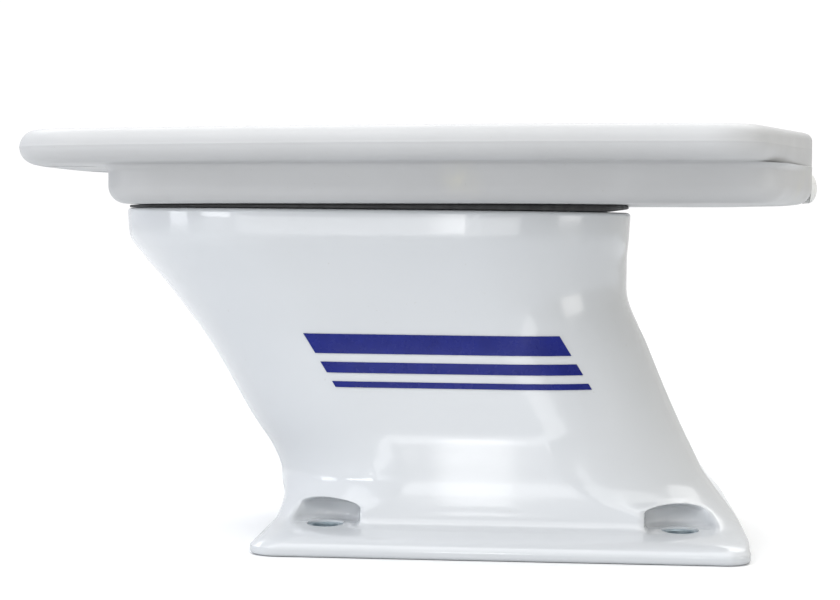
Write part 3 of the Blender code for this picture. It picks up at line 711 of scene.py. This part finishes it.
def make_cover():
    """The cable exit's push-in cover: a stem under a round-nosed hood with a moulding seam."""
    face = PLATE_END_X + GAP
    stem_end = PLATE_END_X - COVER_STEM
    reach = COVER_PROUD - GAP
    nose = COVER_LIP + PORT_HALF_HEIGHT
    rings = [port_ring(stem_end, -4 * GAP), port_ring(stem_end + 0.001, -GAP), port_ring(face, -GAP),
             port_ring(face, COVER_LIP - 0.0004), port_ring(face + 0.0003, COVER_LIP)]
    steps = 22
    for k in range(2, steps):
        angle = pi / 2 * k / steps
        rings.append(port_ring(face + reach * sin(angle), COVER_LIP - nose * (1 - cos(angle))))
    cover = loft("exit_hood", rings)
    seam, wide = PORT_HEIGHT + SEAM_LIFT, 2 * PORT_HALF_WIDTH
    slit = ((-wide, -SEAM_HALF), (wide, -SEAM_HALF), (wide, SEAM_HALF), (-wide, SEAM_HALF))
    tool = loft("seam", [[Vector((x, y, seam + z)) for y, z in slit]
                         for x in (face - 0.0002, face + COVER_PROUD + 0.001)])
    core = [port_ring(face - 0.001, COVER_LIP - SEAM_DEPTH)]
    for k in range(1, steps):
        angle = pi / 2 * k / steps
        core.append(port_ring(face + (reach - SEAM_DEPTH) * sin(angle),
                              COVER_LIP - SEAM_DEPTH - (nose - SEAM_DEPTH) * (1 - cos(angle))))
    cut(tool, [loft("seam_core", core)])
    cut(cover, [tool])
    tidy_mesh(cover.data, 40)
    return coat(cover, MOULDED_WHITE)


def thread_rings(radius, depth, low, high, x, y):
    """Rings of a right-hand V thread, from its tip up to its shank."""
    rings = []
    per_turn = 10
    count = int((high - low) / THREAD_PITCH * per_turn)
    for k in range(count + 1):
        z = low + (high - low) * k / count
        fade = min((z - low) / 0.0012, (high - z) / 0.0008, 1.0)
        ring = []
        for i in range(ROUND):
            turn = i / ROUND
            phase = (z / THREAD_PITCH - turn) % 1.0
            groove = abs(2 * phase - 1)
            r = radius - depth * groove * fade - (1 - fade) * depth * 0.5
            ring.append(Vector((x + r * cos(2 * pi * turn), y + r * sin(2 * pi * turn), z)))
        rings.append(ring)
    return rings


def make_bolt(number, x, y, under_head):
    """A hexagon-head bolt: washer face, chamfered head and threaded shank."""
    corner = HEAD_ACROSS_FLATS / sqrt(3)
    tip = under_head - SHANK_LENGTH
    rings = [circle(SHANK_R * 0.72, tip, x, y), circle(SHANK_R * 0.8, tip + 0.0002, x, y)]
    rings += thread_rings(SHANK_R, THREAD_DEPTH, tip + 0.0004, under_head - 0.0030, x, y)
    rings += [circle(SHANK_R * 0.985, under_head - 0.0024, x, y),
              circle(SHANK_R * 0.985, under_head, x, y), circle(HEAD_ACROSS_FLATS * 0.47, under_head, x, y),
              circle(HEAD_ACROSS_FLATS * 0.47, under_head + 0.0003, x, y)]

    def hexagon(scale, z, roundness):
        ring = []
        for k in range(ROUND):
            angle = 2 * pi * k / ROUND
            within = (angle + pi / 6) % (pi / 3) - pi / 6
            flat = HEAD_ACROSS_FLATS / 2 / cos(pi / 6 - abs(within))
            reach = min(flat, corner * 0.985)
            reach = reach * (1 - roundness) + HEAD_ACROSS_FLATS * 0.485 * roundness
            ring.append(Vector((x + reach * scale * cos(angle), y + reach * scale * sin(angle), z)))
        return ring

    top = under_head + HEAD_HEIGHT
    rings += [hexagon(1.0, under_head + 0.0004, 0), hexagon(1.0, top - 0.0010, 0),
              hexagon(1.0, top - 0.0006, 0.25), hexagon(0.985, top - 0.0002, 0.8),
              hexagon(0.94, top, 1.0), hexagon(0.72, top, 1.0), hexagon(0.68, top - 0.00018, 1.0),
              hexagon(0.2, top - 0.00018, 1.0)]
    return coat(loft(f"bolt_{number}", rings, smooth_angle=28), STEEL)


def make_lock_washer(number, x, y, low):
    """A split spring washer: a square-section coil of almost one turn, its ends sprung apart."""
    bore, radius, thick = LOCK_WASHER
    lift = 0.0004
    wire = thick - lift
    opening = radians(8)
    soft = 0.00018
    section = ((bore, soft), (bore + soft, 0), (radius - soft, 0), (radius, soft), (radius, wire - soft),
               (radius - soft, wire), (bore + soft, wire), (bore, wire - soft))
    rings = []
    for k in range(ROUND + 1):
        angle = opening / 2 + (2 * pi - opening) * k / ROUND
        base = low + lift * k / ROUND
        rings.append([Vector((x + r * cos(angle), y + r * sin(angle), base + z)) for r, z in section])
    return coat(loft(f"spring_washer_{number}", rings, smooth_angle=50), STEEL)


def make_fixings(number, x, y):
    """The bush, flat washer, spring washer and bolt at one place."""
    floor = PAN_FLOOR - PLATE_THICK
    bush_low = floor + GAP
    washer_low = bush_low + BUSH_COLLAR + GAP
    spring_low = washer_low + FLAT_WASHER[2] + GAP
    under_head = spring_low + LOCK_WASHER[2] + GAP
    sleeve_bottom = -PLATE_THICK + GAP
    soft = 0.0003
    bush = turned(f"bush_{number}", [
        (BUSH_SLEEVE_R, bush_low), (BUSH_COLLAR_R - soft, bush_low), (BUSH_COLLAR_R, bush_low + soft),
        (BUSH_COLLAR_R, bush_low + BUSH_COLLAR - soft), (BUSH_COLLAR_R - soft, bush_low + BUSH_COLLAR),
        (BUSH_BORE_R, bush_low + BUSH_COLLAR), (BUSH_BORE_R, sleeve_bottom),
        (BUSH_SLEEVE_R - soft, sleeve_bottom), (BUSH_SLEEVE_R, sleeve_bottom + soft)], x, y)
    bore, radius, thick = FLAT_WASHER
    flat = turned(f"plain_washer_{number}", [
        (bore, washer_low + soft), (bore + soft, washer_low), (radius - soft, washer_low),
        (radius, washer_low + soft), (radius, washer_low + thick - soft * 1.6),
        (radius - soft * 1.6, washer_low + thick), (bore + soft, washer_low + thick),
        (bore, washer_low + thick - soft)], x, y)
    return {"isolator_bush": coat(bush, NYLON), "flat_washer": coat(flat, STEEL),
            "lock_washer": make_lock_washer(number, x, y, spring_low),
            "plate_bolt": make_bolt(number, x, y, under_head)}


def plate_place():
    """Lays the plate's pieces on the collar, lifted aft about the collar's fore edge."""
    fore = station(PEDESTAL_HEIGHT)[0]
    level = PLATE_THICK + GAP + GASKET
    return (Matrix.Translation((fore, 0.0, PEDESTAL_HEIGHT + GAP)) @ Matrix.Rotation(-PLATE_TILT, 4, 'Y')
            @ Matrix.Translation((-fore, 0.0, level)))


# ---- finishes ----------------------------------------------------------------------------
FLOOR_BOUNCE = (0.60, 0.61, 0.62)


class Finish:
    """A Principled material and short ways to add nodes to it."""

    def __init__(self, name, colour, roughness, metallic=0.0, **inputs):
        self.material = bpy.data.materials.new(name)
        self.material.use_nodes = True
        self.tree = self.material.node_tree
        self.shader = self.tree.nodes["Principled BSDF"]
        self.shader.inputs["Base Color"].default_value = (*colour, 1)
        self.shader.inputs["Roughness"].default_value = roughness
        self.shader.inputs["Metallic"].default_value = metallic
        for socket, value in inputs.items():
            self.shader.inputs[socket.replace("_", " ")].default_value = value
        self.place = self.tree.nodes.new('ShaderNodeTexCoord').outputs["Object"]

    def noise(self, scale, detail=3.0, rough=0.55, stretch=(1, 1, 1)):
        mapping = self.tree.nodes.new('ShaderNodeMapping')
        mapping.inputs["Scale"].default_value = stretch
        self.tree.links.new(self.place, mapping.inputs["Vector"])
        node = self.tree.nodes.new('ShaderNodeTexNoise')
        node.inputs["Scale"].default_value = scale
        node.inputs["Detail"].default_value = detail
        node.inputs["Roughness"].default_value = rough
        self.tree.links.new(mapping.outputs["Vector"], node.inputs["Vector"])
        return node.outputs["Fac"]

    def ramp(self, value, low, high, dark, light):
        """A colour ramp from dark at low to light at high."""
        node = self.tree.nodes.new('ShaderNodeValToRGB')
        node.color_ramp.elements[0].position = low
        node.color_ramp.elements[1].position = high
        node.color_ramp.elements[0].color = (*dark, 1)
        node.color_ramp.elements[1].color = (*light, 1)
        self.tree.links.new(value, node.inputs["Fac"])
        return node.outputs["Color"]

    def span(self, value, low, high, start, end):
        """Maps value from low..high to start..end, held at both ends."""
        node = self.tree.nodes.new('ShaderNodeMapRange')
        for socket, number in zip(("From Min", "From Max", "To Min", "To Max"), (low, high, start, end)):
            node.inputs[socket].default_value = number
        self.tree.links.new(value, node.inputs["Value"])
        return node.outputs["Result"]

    def mix(self, factor, first, second):
        """From the first colour to the second; a colour is a tuple or a node's output."""
        node = self.tree.nodes.new('ShaderNodeMix')
        node.data_type = 'RGBA'
        for socket, value in zip((node.inputs[0], node.inputs[6], node.inputs[7]), (factor, first, second)):
            if isinstance(value, tuple):
                socket.default_value = (*value, 1)
            else:
                self.tree.links.new(value, socket)
        return node.outputs[2]

    def product(self, first, second):
        node = self.tree.nodes.new('ShaderNodeMath')
        node.operation = 'MULTIPLY'
        self.tree.links.new(first, node.inputs[0])
        self.tree.links.new(second, node.inputs[1])
        return node.outputs[0]

    def spot(self, centre, radii, fade):
        """1 at centre, falling softly to 0 at the ellipsoid of the given radii."""
        mapping = self.tree.nodes.new('ShaderNodeMapping')
        mapping.vector_type = 'TEXTURE'
        mapping.inputs["Location"].default_value = centre
        mapping.inputs["Scale"].default_value = radii
        self.tree.links.new(self.place, mapping.inputs["Vector"])
        node = self.tree.nodes.new('ShaderNodeVectorMath')
        node.operation = 'LENGTH'
        self.tree.links.new(mapping.outputs["Vector"], node.inputs[0])
        return self.span(node.outputs["Value"], fade, 1.0, 1.0, 0.0)

    def colour(self, value):
        self.tree.links.new(value, self.shader.inputs["Base Color"])

    def roughness(self, value):
        self.tree.links.new(value, self.shader.inputs["Roughness"])

    def bump(self, heights):
        """Bump from (height, depth in metres) pairs, one on top of another."""
        normal = None
        for height, depth in heights:
            node = self.tree.nodes.new('ShaderNodeBump')
            node.inputs["Distance"].default_value = depth
            node.inputs["Strength"].default_value = 1.0
            self.tree.links.new(height, node.inputs["Height"])
            if normal:
                self.tree.links.new(normal, node.inputs["Normal"])
            normal = node.outputs["Normal"]
        self.tree.links.new(normal, self.shader.inputs["Normal"])


def gloss_white():
    """Gloss powder coat over a casting: faint orange peel, soft waviness, a little dust."""
    f = Finish("gloss_white_coat", (0.80, 0.815, 0.83), 0.16, Coat_Weight=0.6, Coat_Roughness=0.06,
               Coat_IOR=1.5)
    tone = f.ramp(f.noise(9.0, 2.0), 0.35, 0.7, (0.565, 0.582, 0.600), (0.592, 0.608, 0.625))
    grime = f.span(f.noise(700.0, 2.0, 0.5), 0.74, 0.80, 0.0, 0.35)
    f.colour(f.mix(grime, tone, (0.45, 0.44, 0.41)))
    f.roughness(f.span(f.noise(26.0, 4.0), 0.3, 0.75, 0.12, 0.24))
    f.bump([(f.noise(24.0, 2.0), 0.00035), (f.noise(420.0, 2.0), 0.000012)])
    return f.material


def satin_white():
    """Satin coat on the plate: fine stipple, handling marks and two faint old stains."""
    f = Finish("satin_white_coat", (0.70, 0.70, 0.69), 0.42, Coat_Weight=0.12, Coat_Roughness=0.25)
    tone = f.ramp(f.noise(14.0, 4.0), 0.3, 0.75, (0.440, 0.442, 0.444), (0.474, 0.477, 0.481))
    mottle = f.span(f.noise(60.0, 5.0), 0.45, 0.75, 0.0, 0.5)
    after_stain = f.product(f.spot((0.1440, -0.062, 0.1345), (0.009, 0.05, 0.012), 0.1), mottle)
    marked = f.mix(after_stain, tone, (0.50, 0.49, 0.36))
    middle_stain = f.product(f.spot((0.018, -0.090, 0.1350), (0.010, 0.03, 0.010), 0.0), mottle)
    marked = f.mix(middle_stain, marked, (0.60, 0.58, 0.47))
    specks = f.span(f.noise(900.0, 1.0), 0.76, 0.80, 0.0, 0.4)
    f.colour(f.mix(specks, marked, (0.38, 0.37, 0.34)))
    f.roughness(f.span(f.noise(40.0, 5.0), 0.3, 0.7, 0.34, 0.52))
    f.bump([(f.noise(30.0, 2.0), 0.00025), (f.noise(900.0, 2.0), 0.000015)])
    return f.material


def moulded_white():
    f = Finish("moulded_white", (0.70, 0.70, 0.68), 0.45)
    f.colour(f.ramp(f.noise(120.0, 3.0), 0.3, 0.7, (0.68, 0.68, 0.66), (0.72, 0.72, 0.705)))
    f.roughness(f.span(f.noise(260.0, 3.0), 0.3, 0.7, 0.38, 0.55))
    f.bump([(f.noise(1400.0, 2.0), 0.00002)])
    return f.material


def rubber():
    f = Finish("black_rubber", (0.014, 0.014, 0.015), 0.6)
    f.colour(f.ramp(f.noise(160.0, 4.0), 0.3, 0.8, (0.010, 0.010, 0.011), (0.028, 0.028, 0.029)))
    f.roughness(f.span(f.noise(300.0, 3.0), 0.3, 0.7, 0.5, 0.75))
    f.bump([(f.noise(1600.0, 3.0), 0.00004)])
    return f.material


def steel():
    """Stainless steel: turned grain, slight tarnish."""
    f = Finish("stainless_steel", (0.58, 0.575, 0.565), 0.28, 1.0)
    f.colour(f.ramp(f.noise(220.0, 4.0), 0.3, 0.75, (0.50, 0.495, 0.48), (0.64, 0.635, 0.625)))
    f.roughness(f.span(f.noise(500.0, 3.0, stretch=(1, 1, 8)), 0.3, 0.7, 0.2, 0.4))
    f.bump([(f.noise(2500.0, 2.0, stretch=(0.2, 0.2, 3)), 0.00001)])
    return f.material


def bare_metal():
    """Machined aluminium of the spotfaces and holes: cutter marks under a dull film."""
    f = Finish("bare_aluminium", (0.42, 0.50, 0.55), 0.35, 0.85)
    f.colour(f.ramp(f.noise(340.0, 4.0), 0.3, 0.75, (0.34, 0.42, 0.47), (0.55, 0.61, 0.64)))
    f.roughness(f.span(f.noise(600.0, 3.0), 0.3, 0.7, 0.28, 0.45))
    f.bump([(f.noise(1500.0, 2.0, stretch=(1, 4, 1)), 0.00002)])
    return f.material


def nylon():
    f = Finish("natural_nylon", (0.70, 0.67, 0.58), 0.45, Subsurface_Weight=0.15)
    f.colour(f.ramp(f.noise(200.0, 3.0), 0.3, 0.7, (0.66, 0.63, 0.54), (0.73, 0.70, 0.62)))
    f.bump([(f.noise(1500.0, 2.0), 0.00002)])
    return f.material


def blue_vinyl():
    f = Finish("blue_vinyl", (0.009, 0.015, 0.16), 0.3, Specular_IOR_Level=0.2)
    f.colour(f.ramp(f.noise(90.0, 4.0), 0.3, 0.75, (0.007, 0.012, 0.135), (0.011, 0.018, 0.185)))
    f.roughness(f.span(f.noise(300.0, 3.0), 0.3, 0.7, 0.2, 0.32))
    f.bump([(f.noise(700.0, 2.0), 0.000008)])
    return f.material


def floor_white():
    """White to look at, but it sends less light back up under the object."""
    f = Finish("studio_floor", (0.93, 0.93, 0.93), 0.6)
    white = f.ramp(f.noise(2.0, 2.0), 0.3, 0.7, (0.925, 0.925, 0.925), (0.94, 0.94, 0.94))
    seen = f.tree.nodes.new('ShaderNodeLightPath').outputs["Is Camera Ray"]
    f.colour(f.mix(seen, FLOOR_BOUNCE, white))
    return f.material


GLOSS_WHITE = gloss_white()
SATIN_WHITE = satin_white()
MOULDED_WHITE = moulded_white()
RUBBER = rubber()
STEEL = steel()
BARE_METAL = bare_metal()
NYLON = nylon()
BLUE_VINYL = blue_vinyl()
FLOOR_WHITE = floor_white()


# ---- studio ------------------------------------------------------------------------------
SKY_POWER = 0.92
SKY_FORE = (1.0, 1.03, 1.10, 1)
SKY_AFT = (0.62, 0.60, 0.55, 1)

# name, place, target, width and height, watts, colour
LIGHTS = (
    ("overhead", (-0.1, 0.5, 2.2), (0.0, 0.5, 0.0), (3.4, 3.4), 44.0, (1.0, 1.0, 1.0)),
    ("back_overhead", (0.0, 1.5, 1.6), (0.0, 1.5, 0.0), (3.4, 1.4), 20.0, (1.0, 1.0, 1.0)),
    ("key", (-0.30, -1.30, 1.60), (0.0, 0.0, 0.06), (3.2, 1.7), 22.0, (0.97, 0.985, 1.0)),
    ("fore_window", (-1.30, -0.36, 0.20), (-0.08, -0.05, 0.11), (0.36, 0.34), 1.4, (0.95, 0.97, 1.0)),
    ("aft_window", (1.40, -0.35, 0.22), (0.12, -0.05, 0.12), (0.5, 0.35), 1.4, (1.0, 0.98, 0.95)),
    ("low_window", (-0.93, -0.95, 0.17), (-0.02, -0.07, 0.04), (0.50, 0.13), 1.2, (0.97, 0.98, 1.0)),
    ("low_panel", (0.10, -1.50, 0.11), (0.03, -0.09, 0.01), (2.0, 0.20), 2.6, (0.98, 0.99, 1.0)),
    ("slot", (-0.03, -1.35, 0.24), (0.01, -0.07, 0.10), (0.07, 0.30), 0.34, (1.0, 1.0, 1.0)),
    ("after_slot", (0.17, -1.38, 0.27), (0.10, -0.09, 0.01), (0.06, 0.10), 0.08, (1.0, 1.0, 1.0)),
)


def add_camera():
    """A long lens at the height of the collar, a little aft of the middle, on the port side."""
    data = bpy.data.cameras.new("camera")
    data.sensor_width = 36.0
    data.lens = 90.0
    data.clip_start = 0.01
    camera = bpy.data.objects.new("camera", data)
    bpy.context.scene.collection.objects.link(camera)
    yaw, pitch, roll = radians(4.0), radians(2.0977), radians(0.62)
    ahead = Vector((-sin(yaw) * cos(pitch), cos(yaw) * cos(pitch), -sin(pitch)))
    right = Vector((cos(yaw), sin(yaw), 0.0))
    up = right.cross(ahead)
    turned_right = right * cos(roll) + up * sin(roll)
    turned_up = up * cos(roll) - right * sin(roll)
    matrix = Matrix((turned_right, turned_up, -ahead)).transposed().to_4x4()
    matrix.translation = Vector((0.0562, -0.8327, 0.1200))
    camera.matrix_world = matrix
    bpy.context.scene.camera = camera


def add_light(name, place, target, size, power, colour):
    data = bpy.data.lights.new(name, 'AREA')
    data.shape = 'RECTANGLE'
    data.size, data.size_y = size
    data.energy = power
    data.color = colour
    light = bpy.data.objects.new(name, data)
    bpy.context.scene.collection.objects.link(light)
    light.location = place
    light.rotation_euler = (Vector(target) - Vector(place)).to_track_quat('-Z', 'Y').to_euler()


def add_sky():
    """White to look at; as light it is cool and strong on the fore side, warm and weak aft."""
    world = bpy.data.worlds.new("studio")
    world.use_nodes = True
    tree = world.node_tree
    output = tree.nodes["World Output"]
    backdrop = tree.nodes["Background"]
    backdrop.inputs["Color"].default_value = (1.0, 1.0, 1.0, 1)
    backdrop.inputs["Strength"].default_value = 1.05
    fill = tree.nodes.new('ShaderNodeBackground')
    fill.inputs["Strength"].default_value = SKY_POWER
    split = tree.nodes.new('ShaderNodeSeparateXYZ')
    tree.links.new(tree.nodes.new('ShaderNodeTexCoord').outputs["Generated"], split.inputs[0])
    side = tree.nodes.new('ShaderNodeMapRange')
    side.inputs["From Min"].default_value = -0.9
    side.inputs["From Max"].default_value = 0.9
    tree.links.new(split.outputs["X"], side.inputs["Value"])
    ramp = tree.nodes.new('ShaderNodeValToRGB')
    ramp.color_ramp.elements[0].color = SKY_FORE
    ramp.color_ramp.elements[1].color = SKY_AFT
    tree.links.new(side.outputs["Result"], ramp.inputs["Fac"])
    tree.links.new(ramp.outputs["Color"], fill.inputs["Color"])
    choose = tree.nodes.new('ShaderNodeMixShader')
    tree.links.new(tree.nodes.new('ShaderNodeLightPath').outputs["Is Camera Ray"], choose.inputs[0])
    tree.links.new(fill.outputs[0], choose.inputs[1])
    tree.links.new(backdrop.outputs[0], choose.inputs[2])
    tree.links.new(choose.outputs[0], output.inputs["Surface"])
    bpy.context.scene.world = world


def add_studio():
    add_sky()
    bpy.context.scene.view_settings.view_transform = 'Standard'
    reach, level = 1.7, -0.0001
    corners = [(-reach, -reach, level), (reach, -reach, level), (reach, reach, level), (-reach, reach, level)]
    coat(new_object("studio_floor", corners, [(0, 1, 2, 3)]), FLOOR_WHITE)
    for light in LIGHTS:
        add_light(*light)


# ---- put together ------------------------------------------------------------------------
def stand_for(piece, node, body):
    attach(piece, body)
    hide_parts(node)


def main():
    stand_for(make_pedestal(), "pedestal_casting", "pedestal")
    for number, (x, y) in enumerate(plate_bolt_places(), 1):
        stand_for(make_insert(number, x, y), f"thread_insert_{number}", "pedestal")
    for number, (middle, width) in enumerate(STRIPES, 1):
        stand_for(make_stripe(number, middle, width), f"side_stripe_{number}", "pedestal")

    place = plate_place()

    def lay(piece, node, body):
        piece.data.transform(place)
        stand_for(piece, node, body)

    lay(make_plate(), "top_plate", "plate")
    stand_for(make_gasket_with_gap_shade(), "plate_gasket", "plate")
    lay(make_grommet(), "cable_grommet", "plate")
    lay(make_cover(), "cable_exit_cover", "exit_cover")
    for number, (x, y) in enumerate(plate_bolt_places(), 1):
        for node, piece in make_fixings(number, x, y).items():
            lay(piece, f"{node}_{number}", "plate")
    add_studio()
    add_camera()


main()
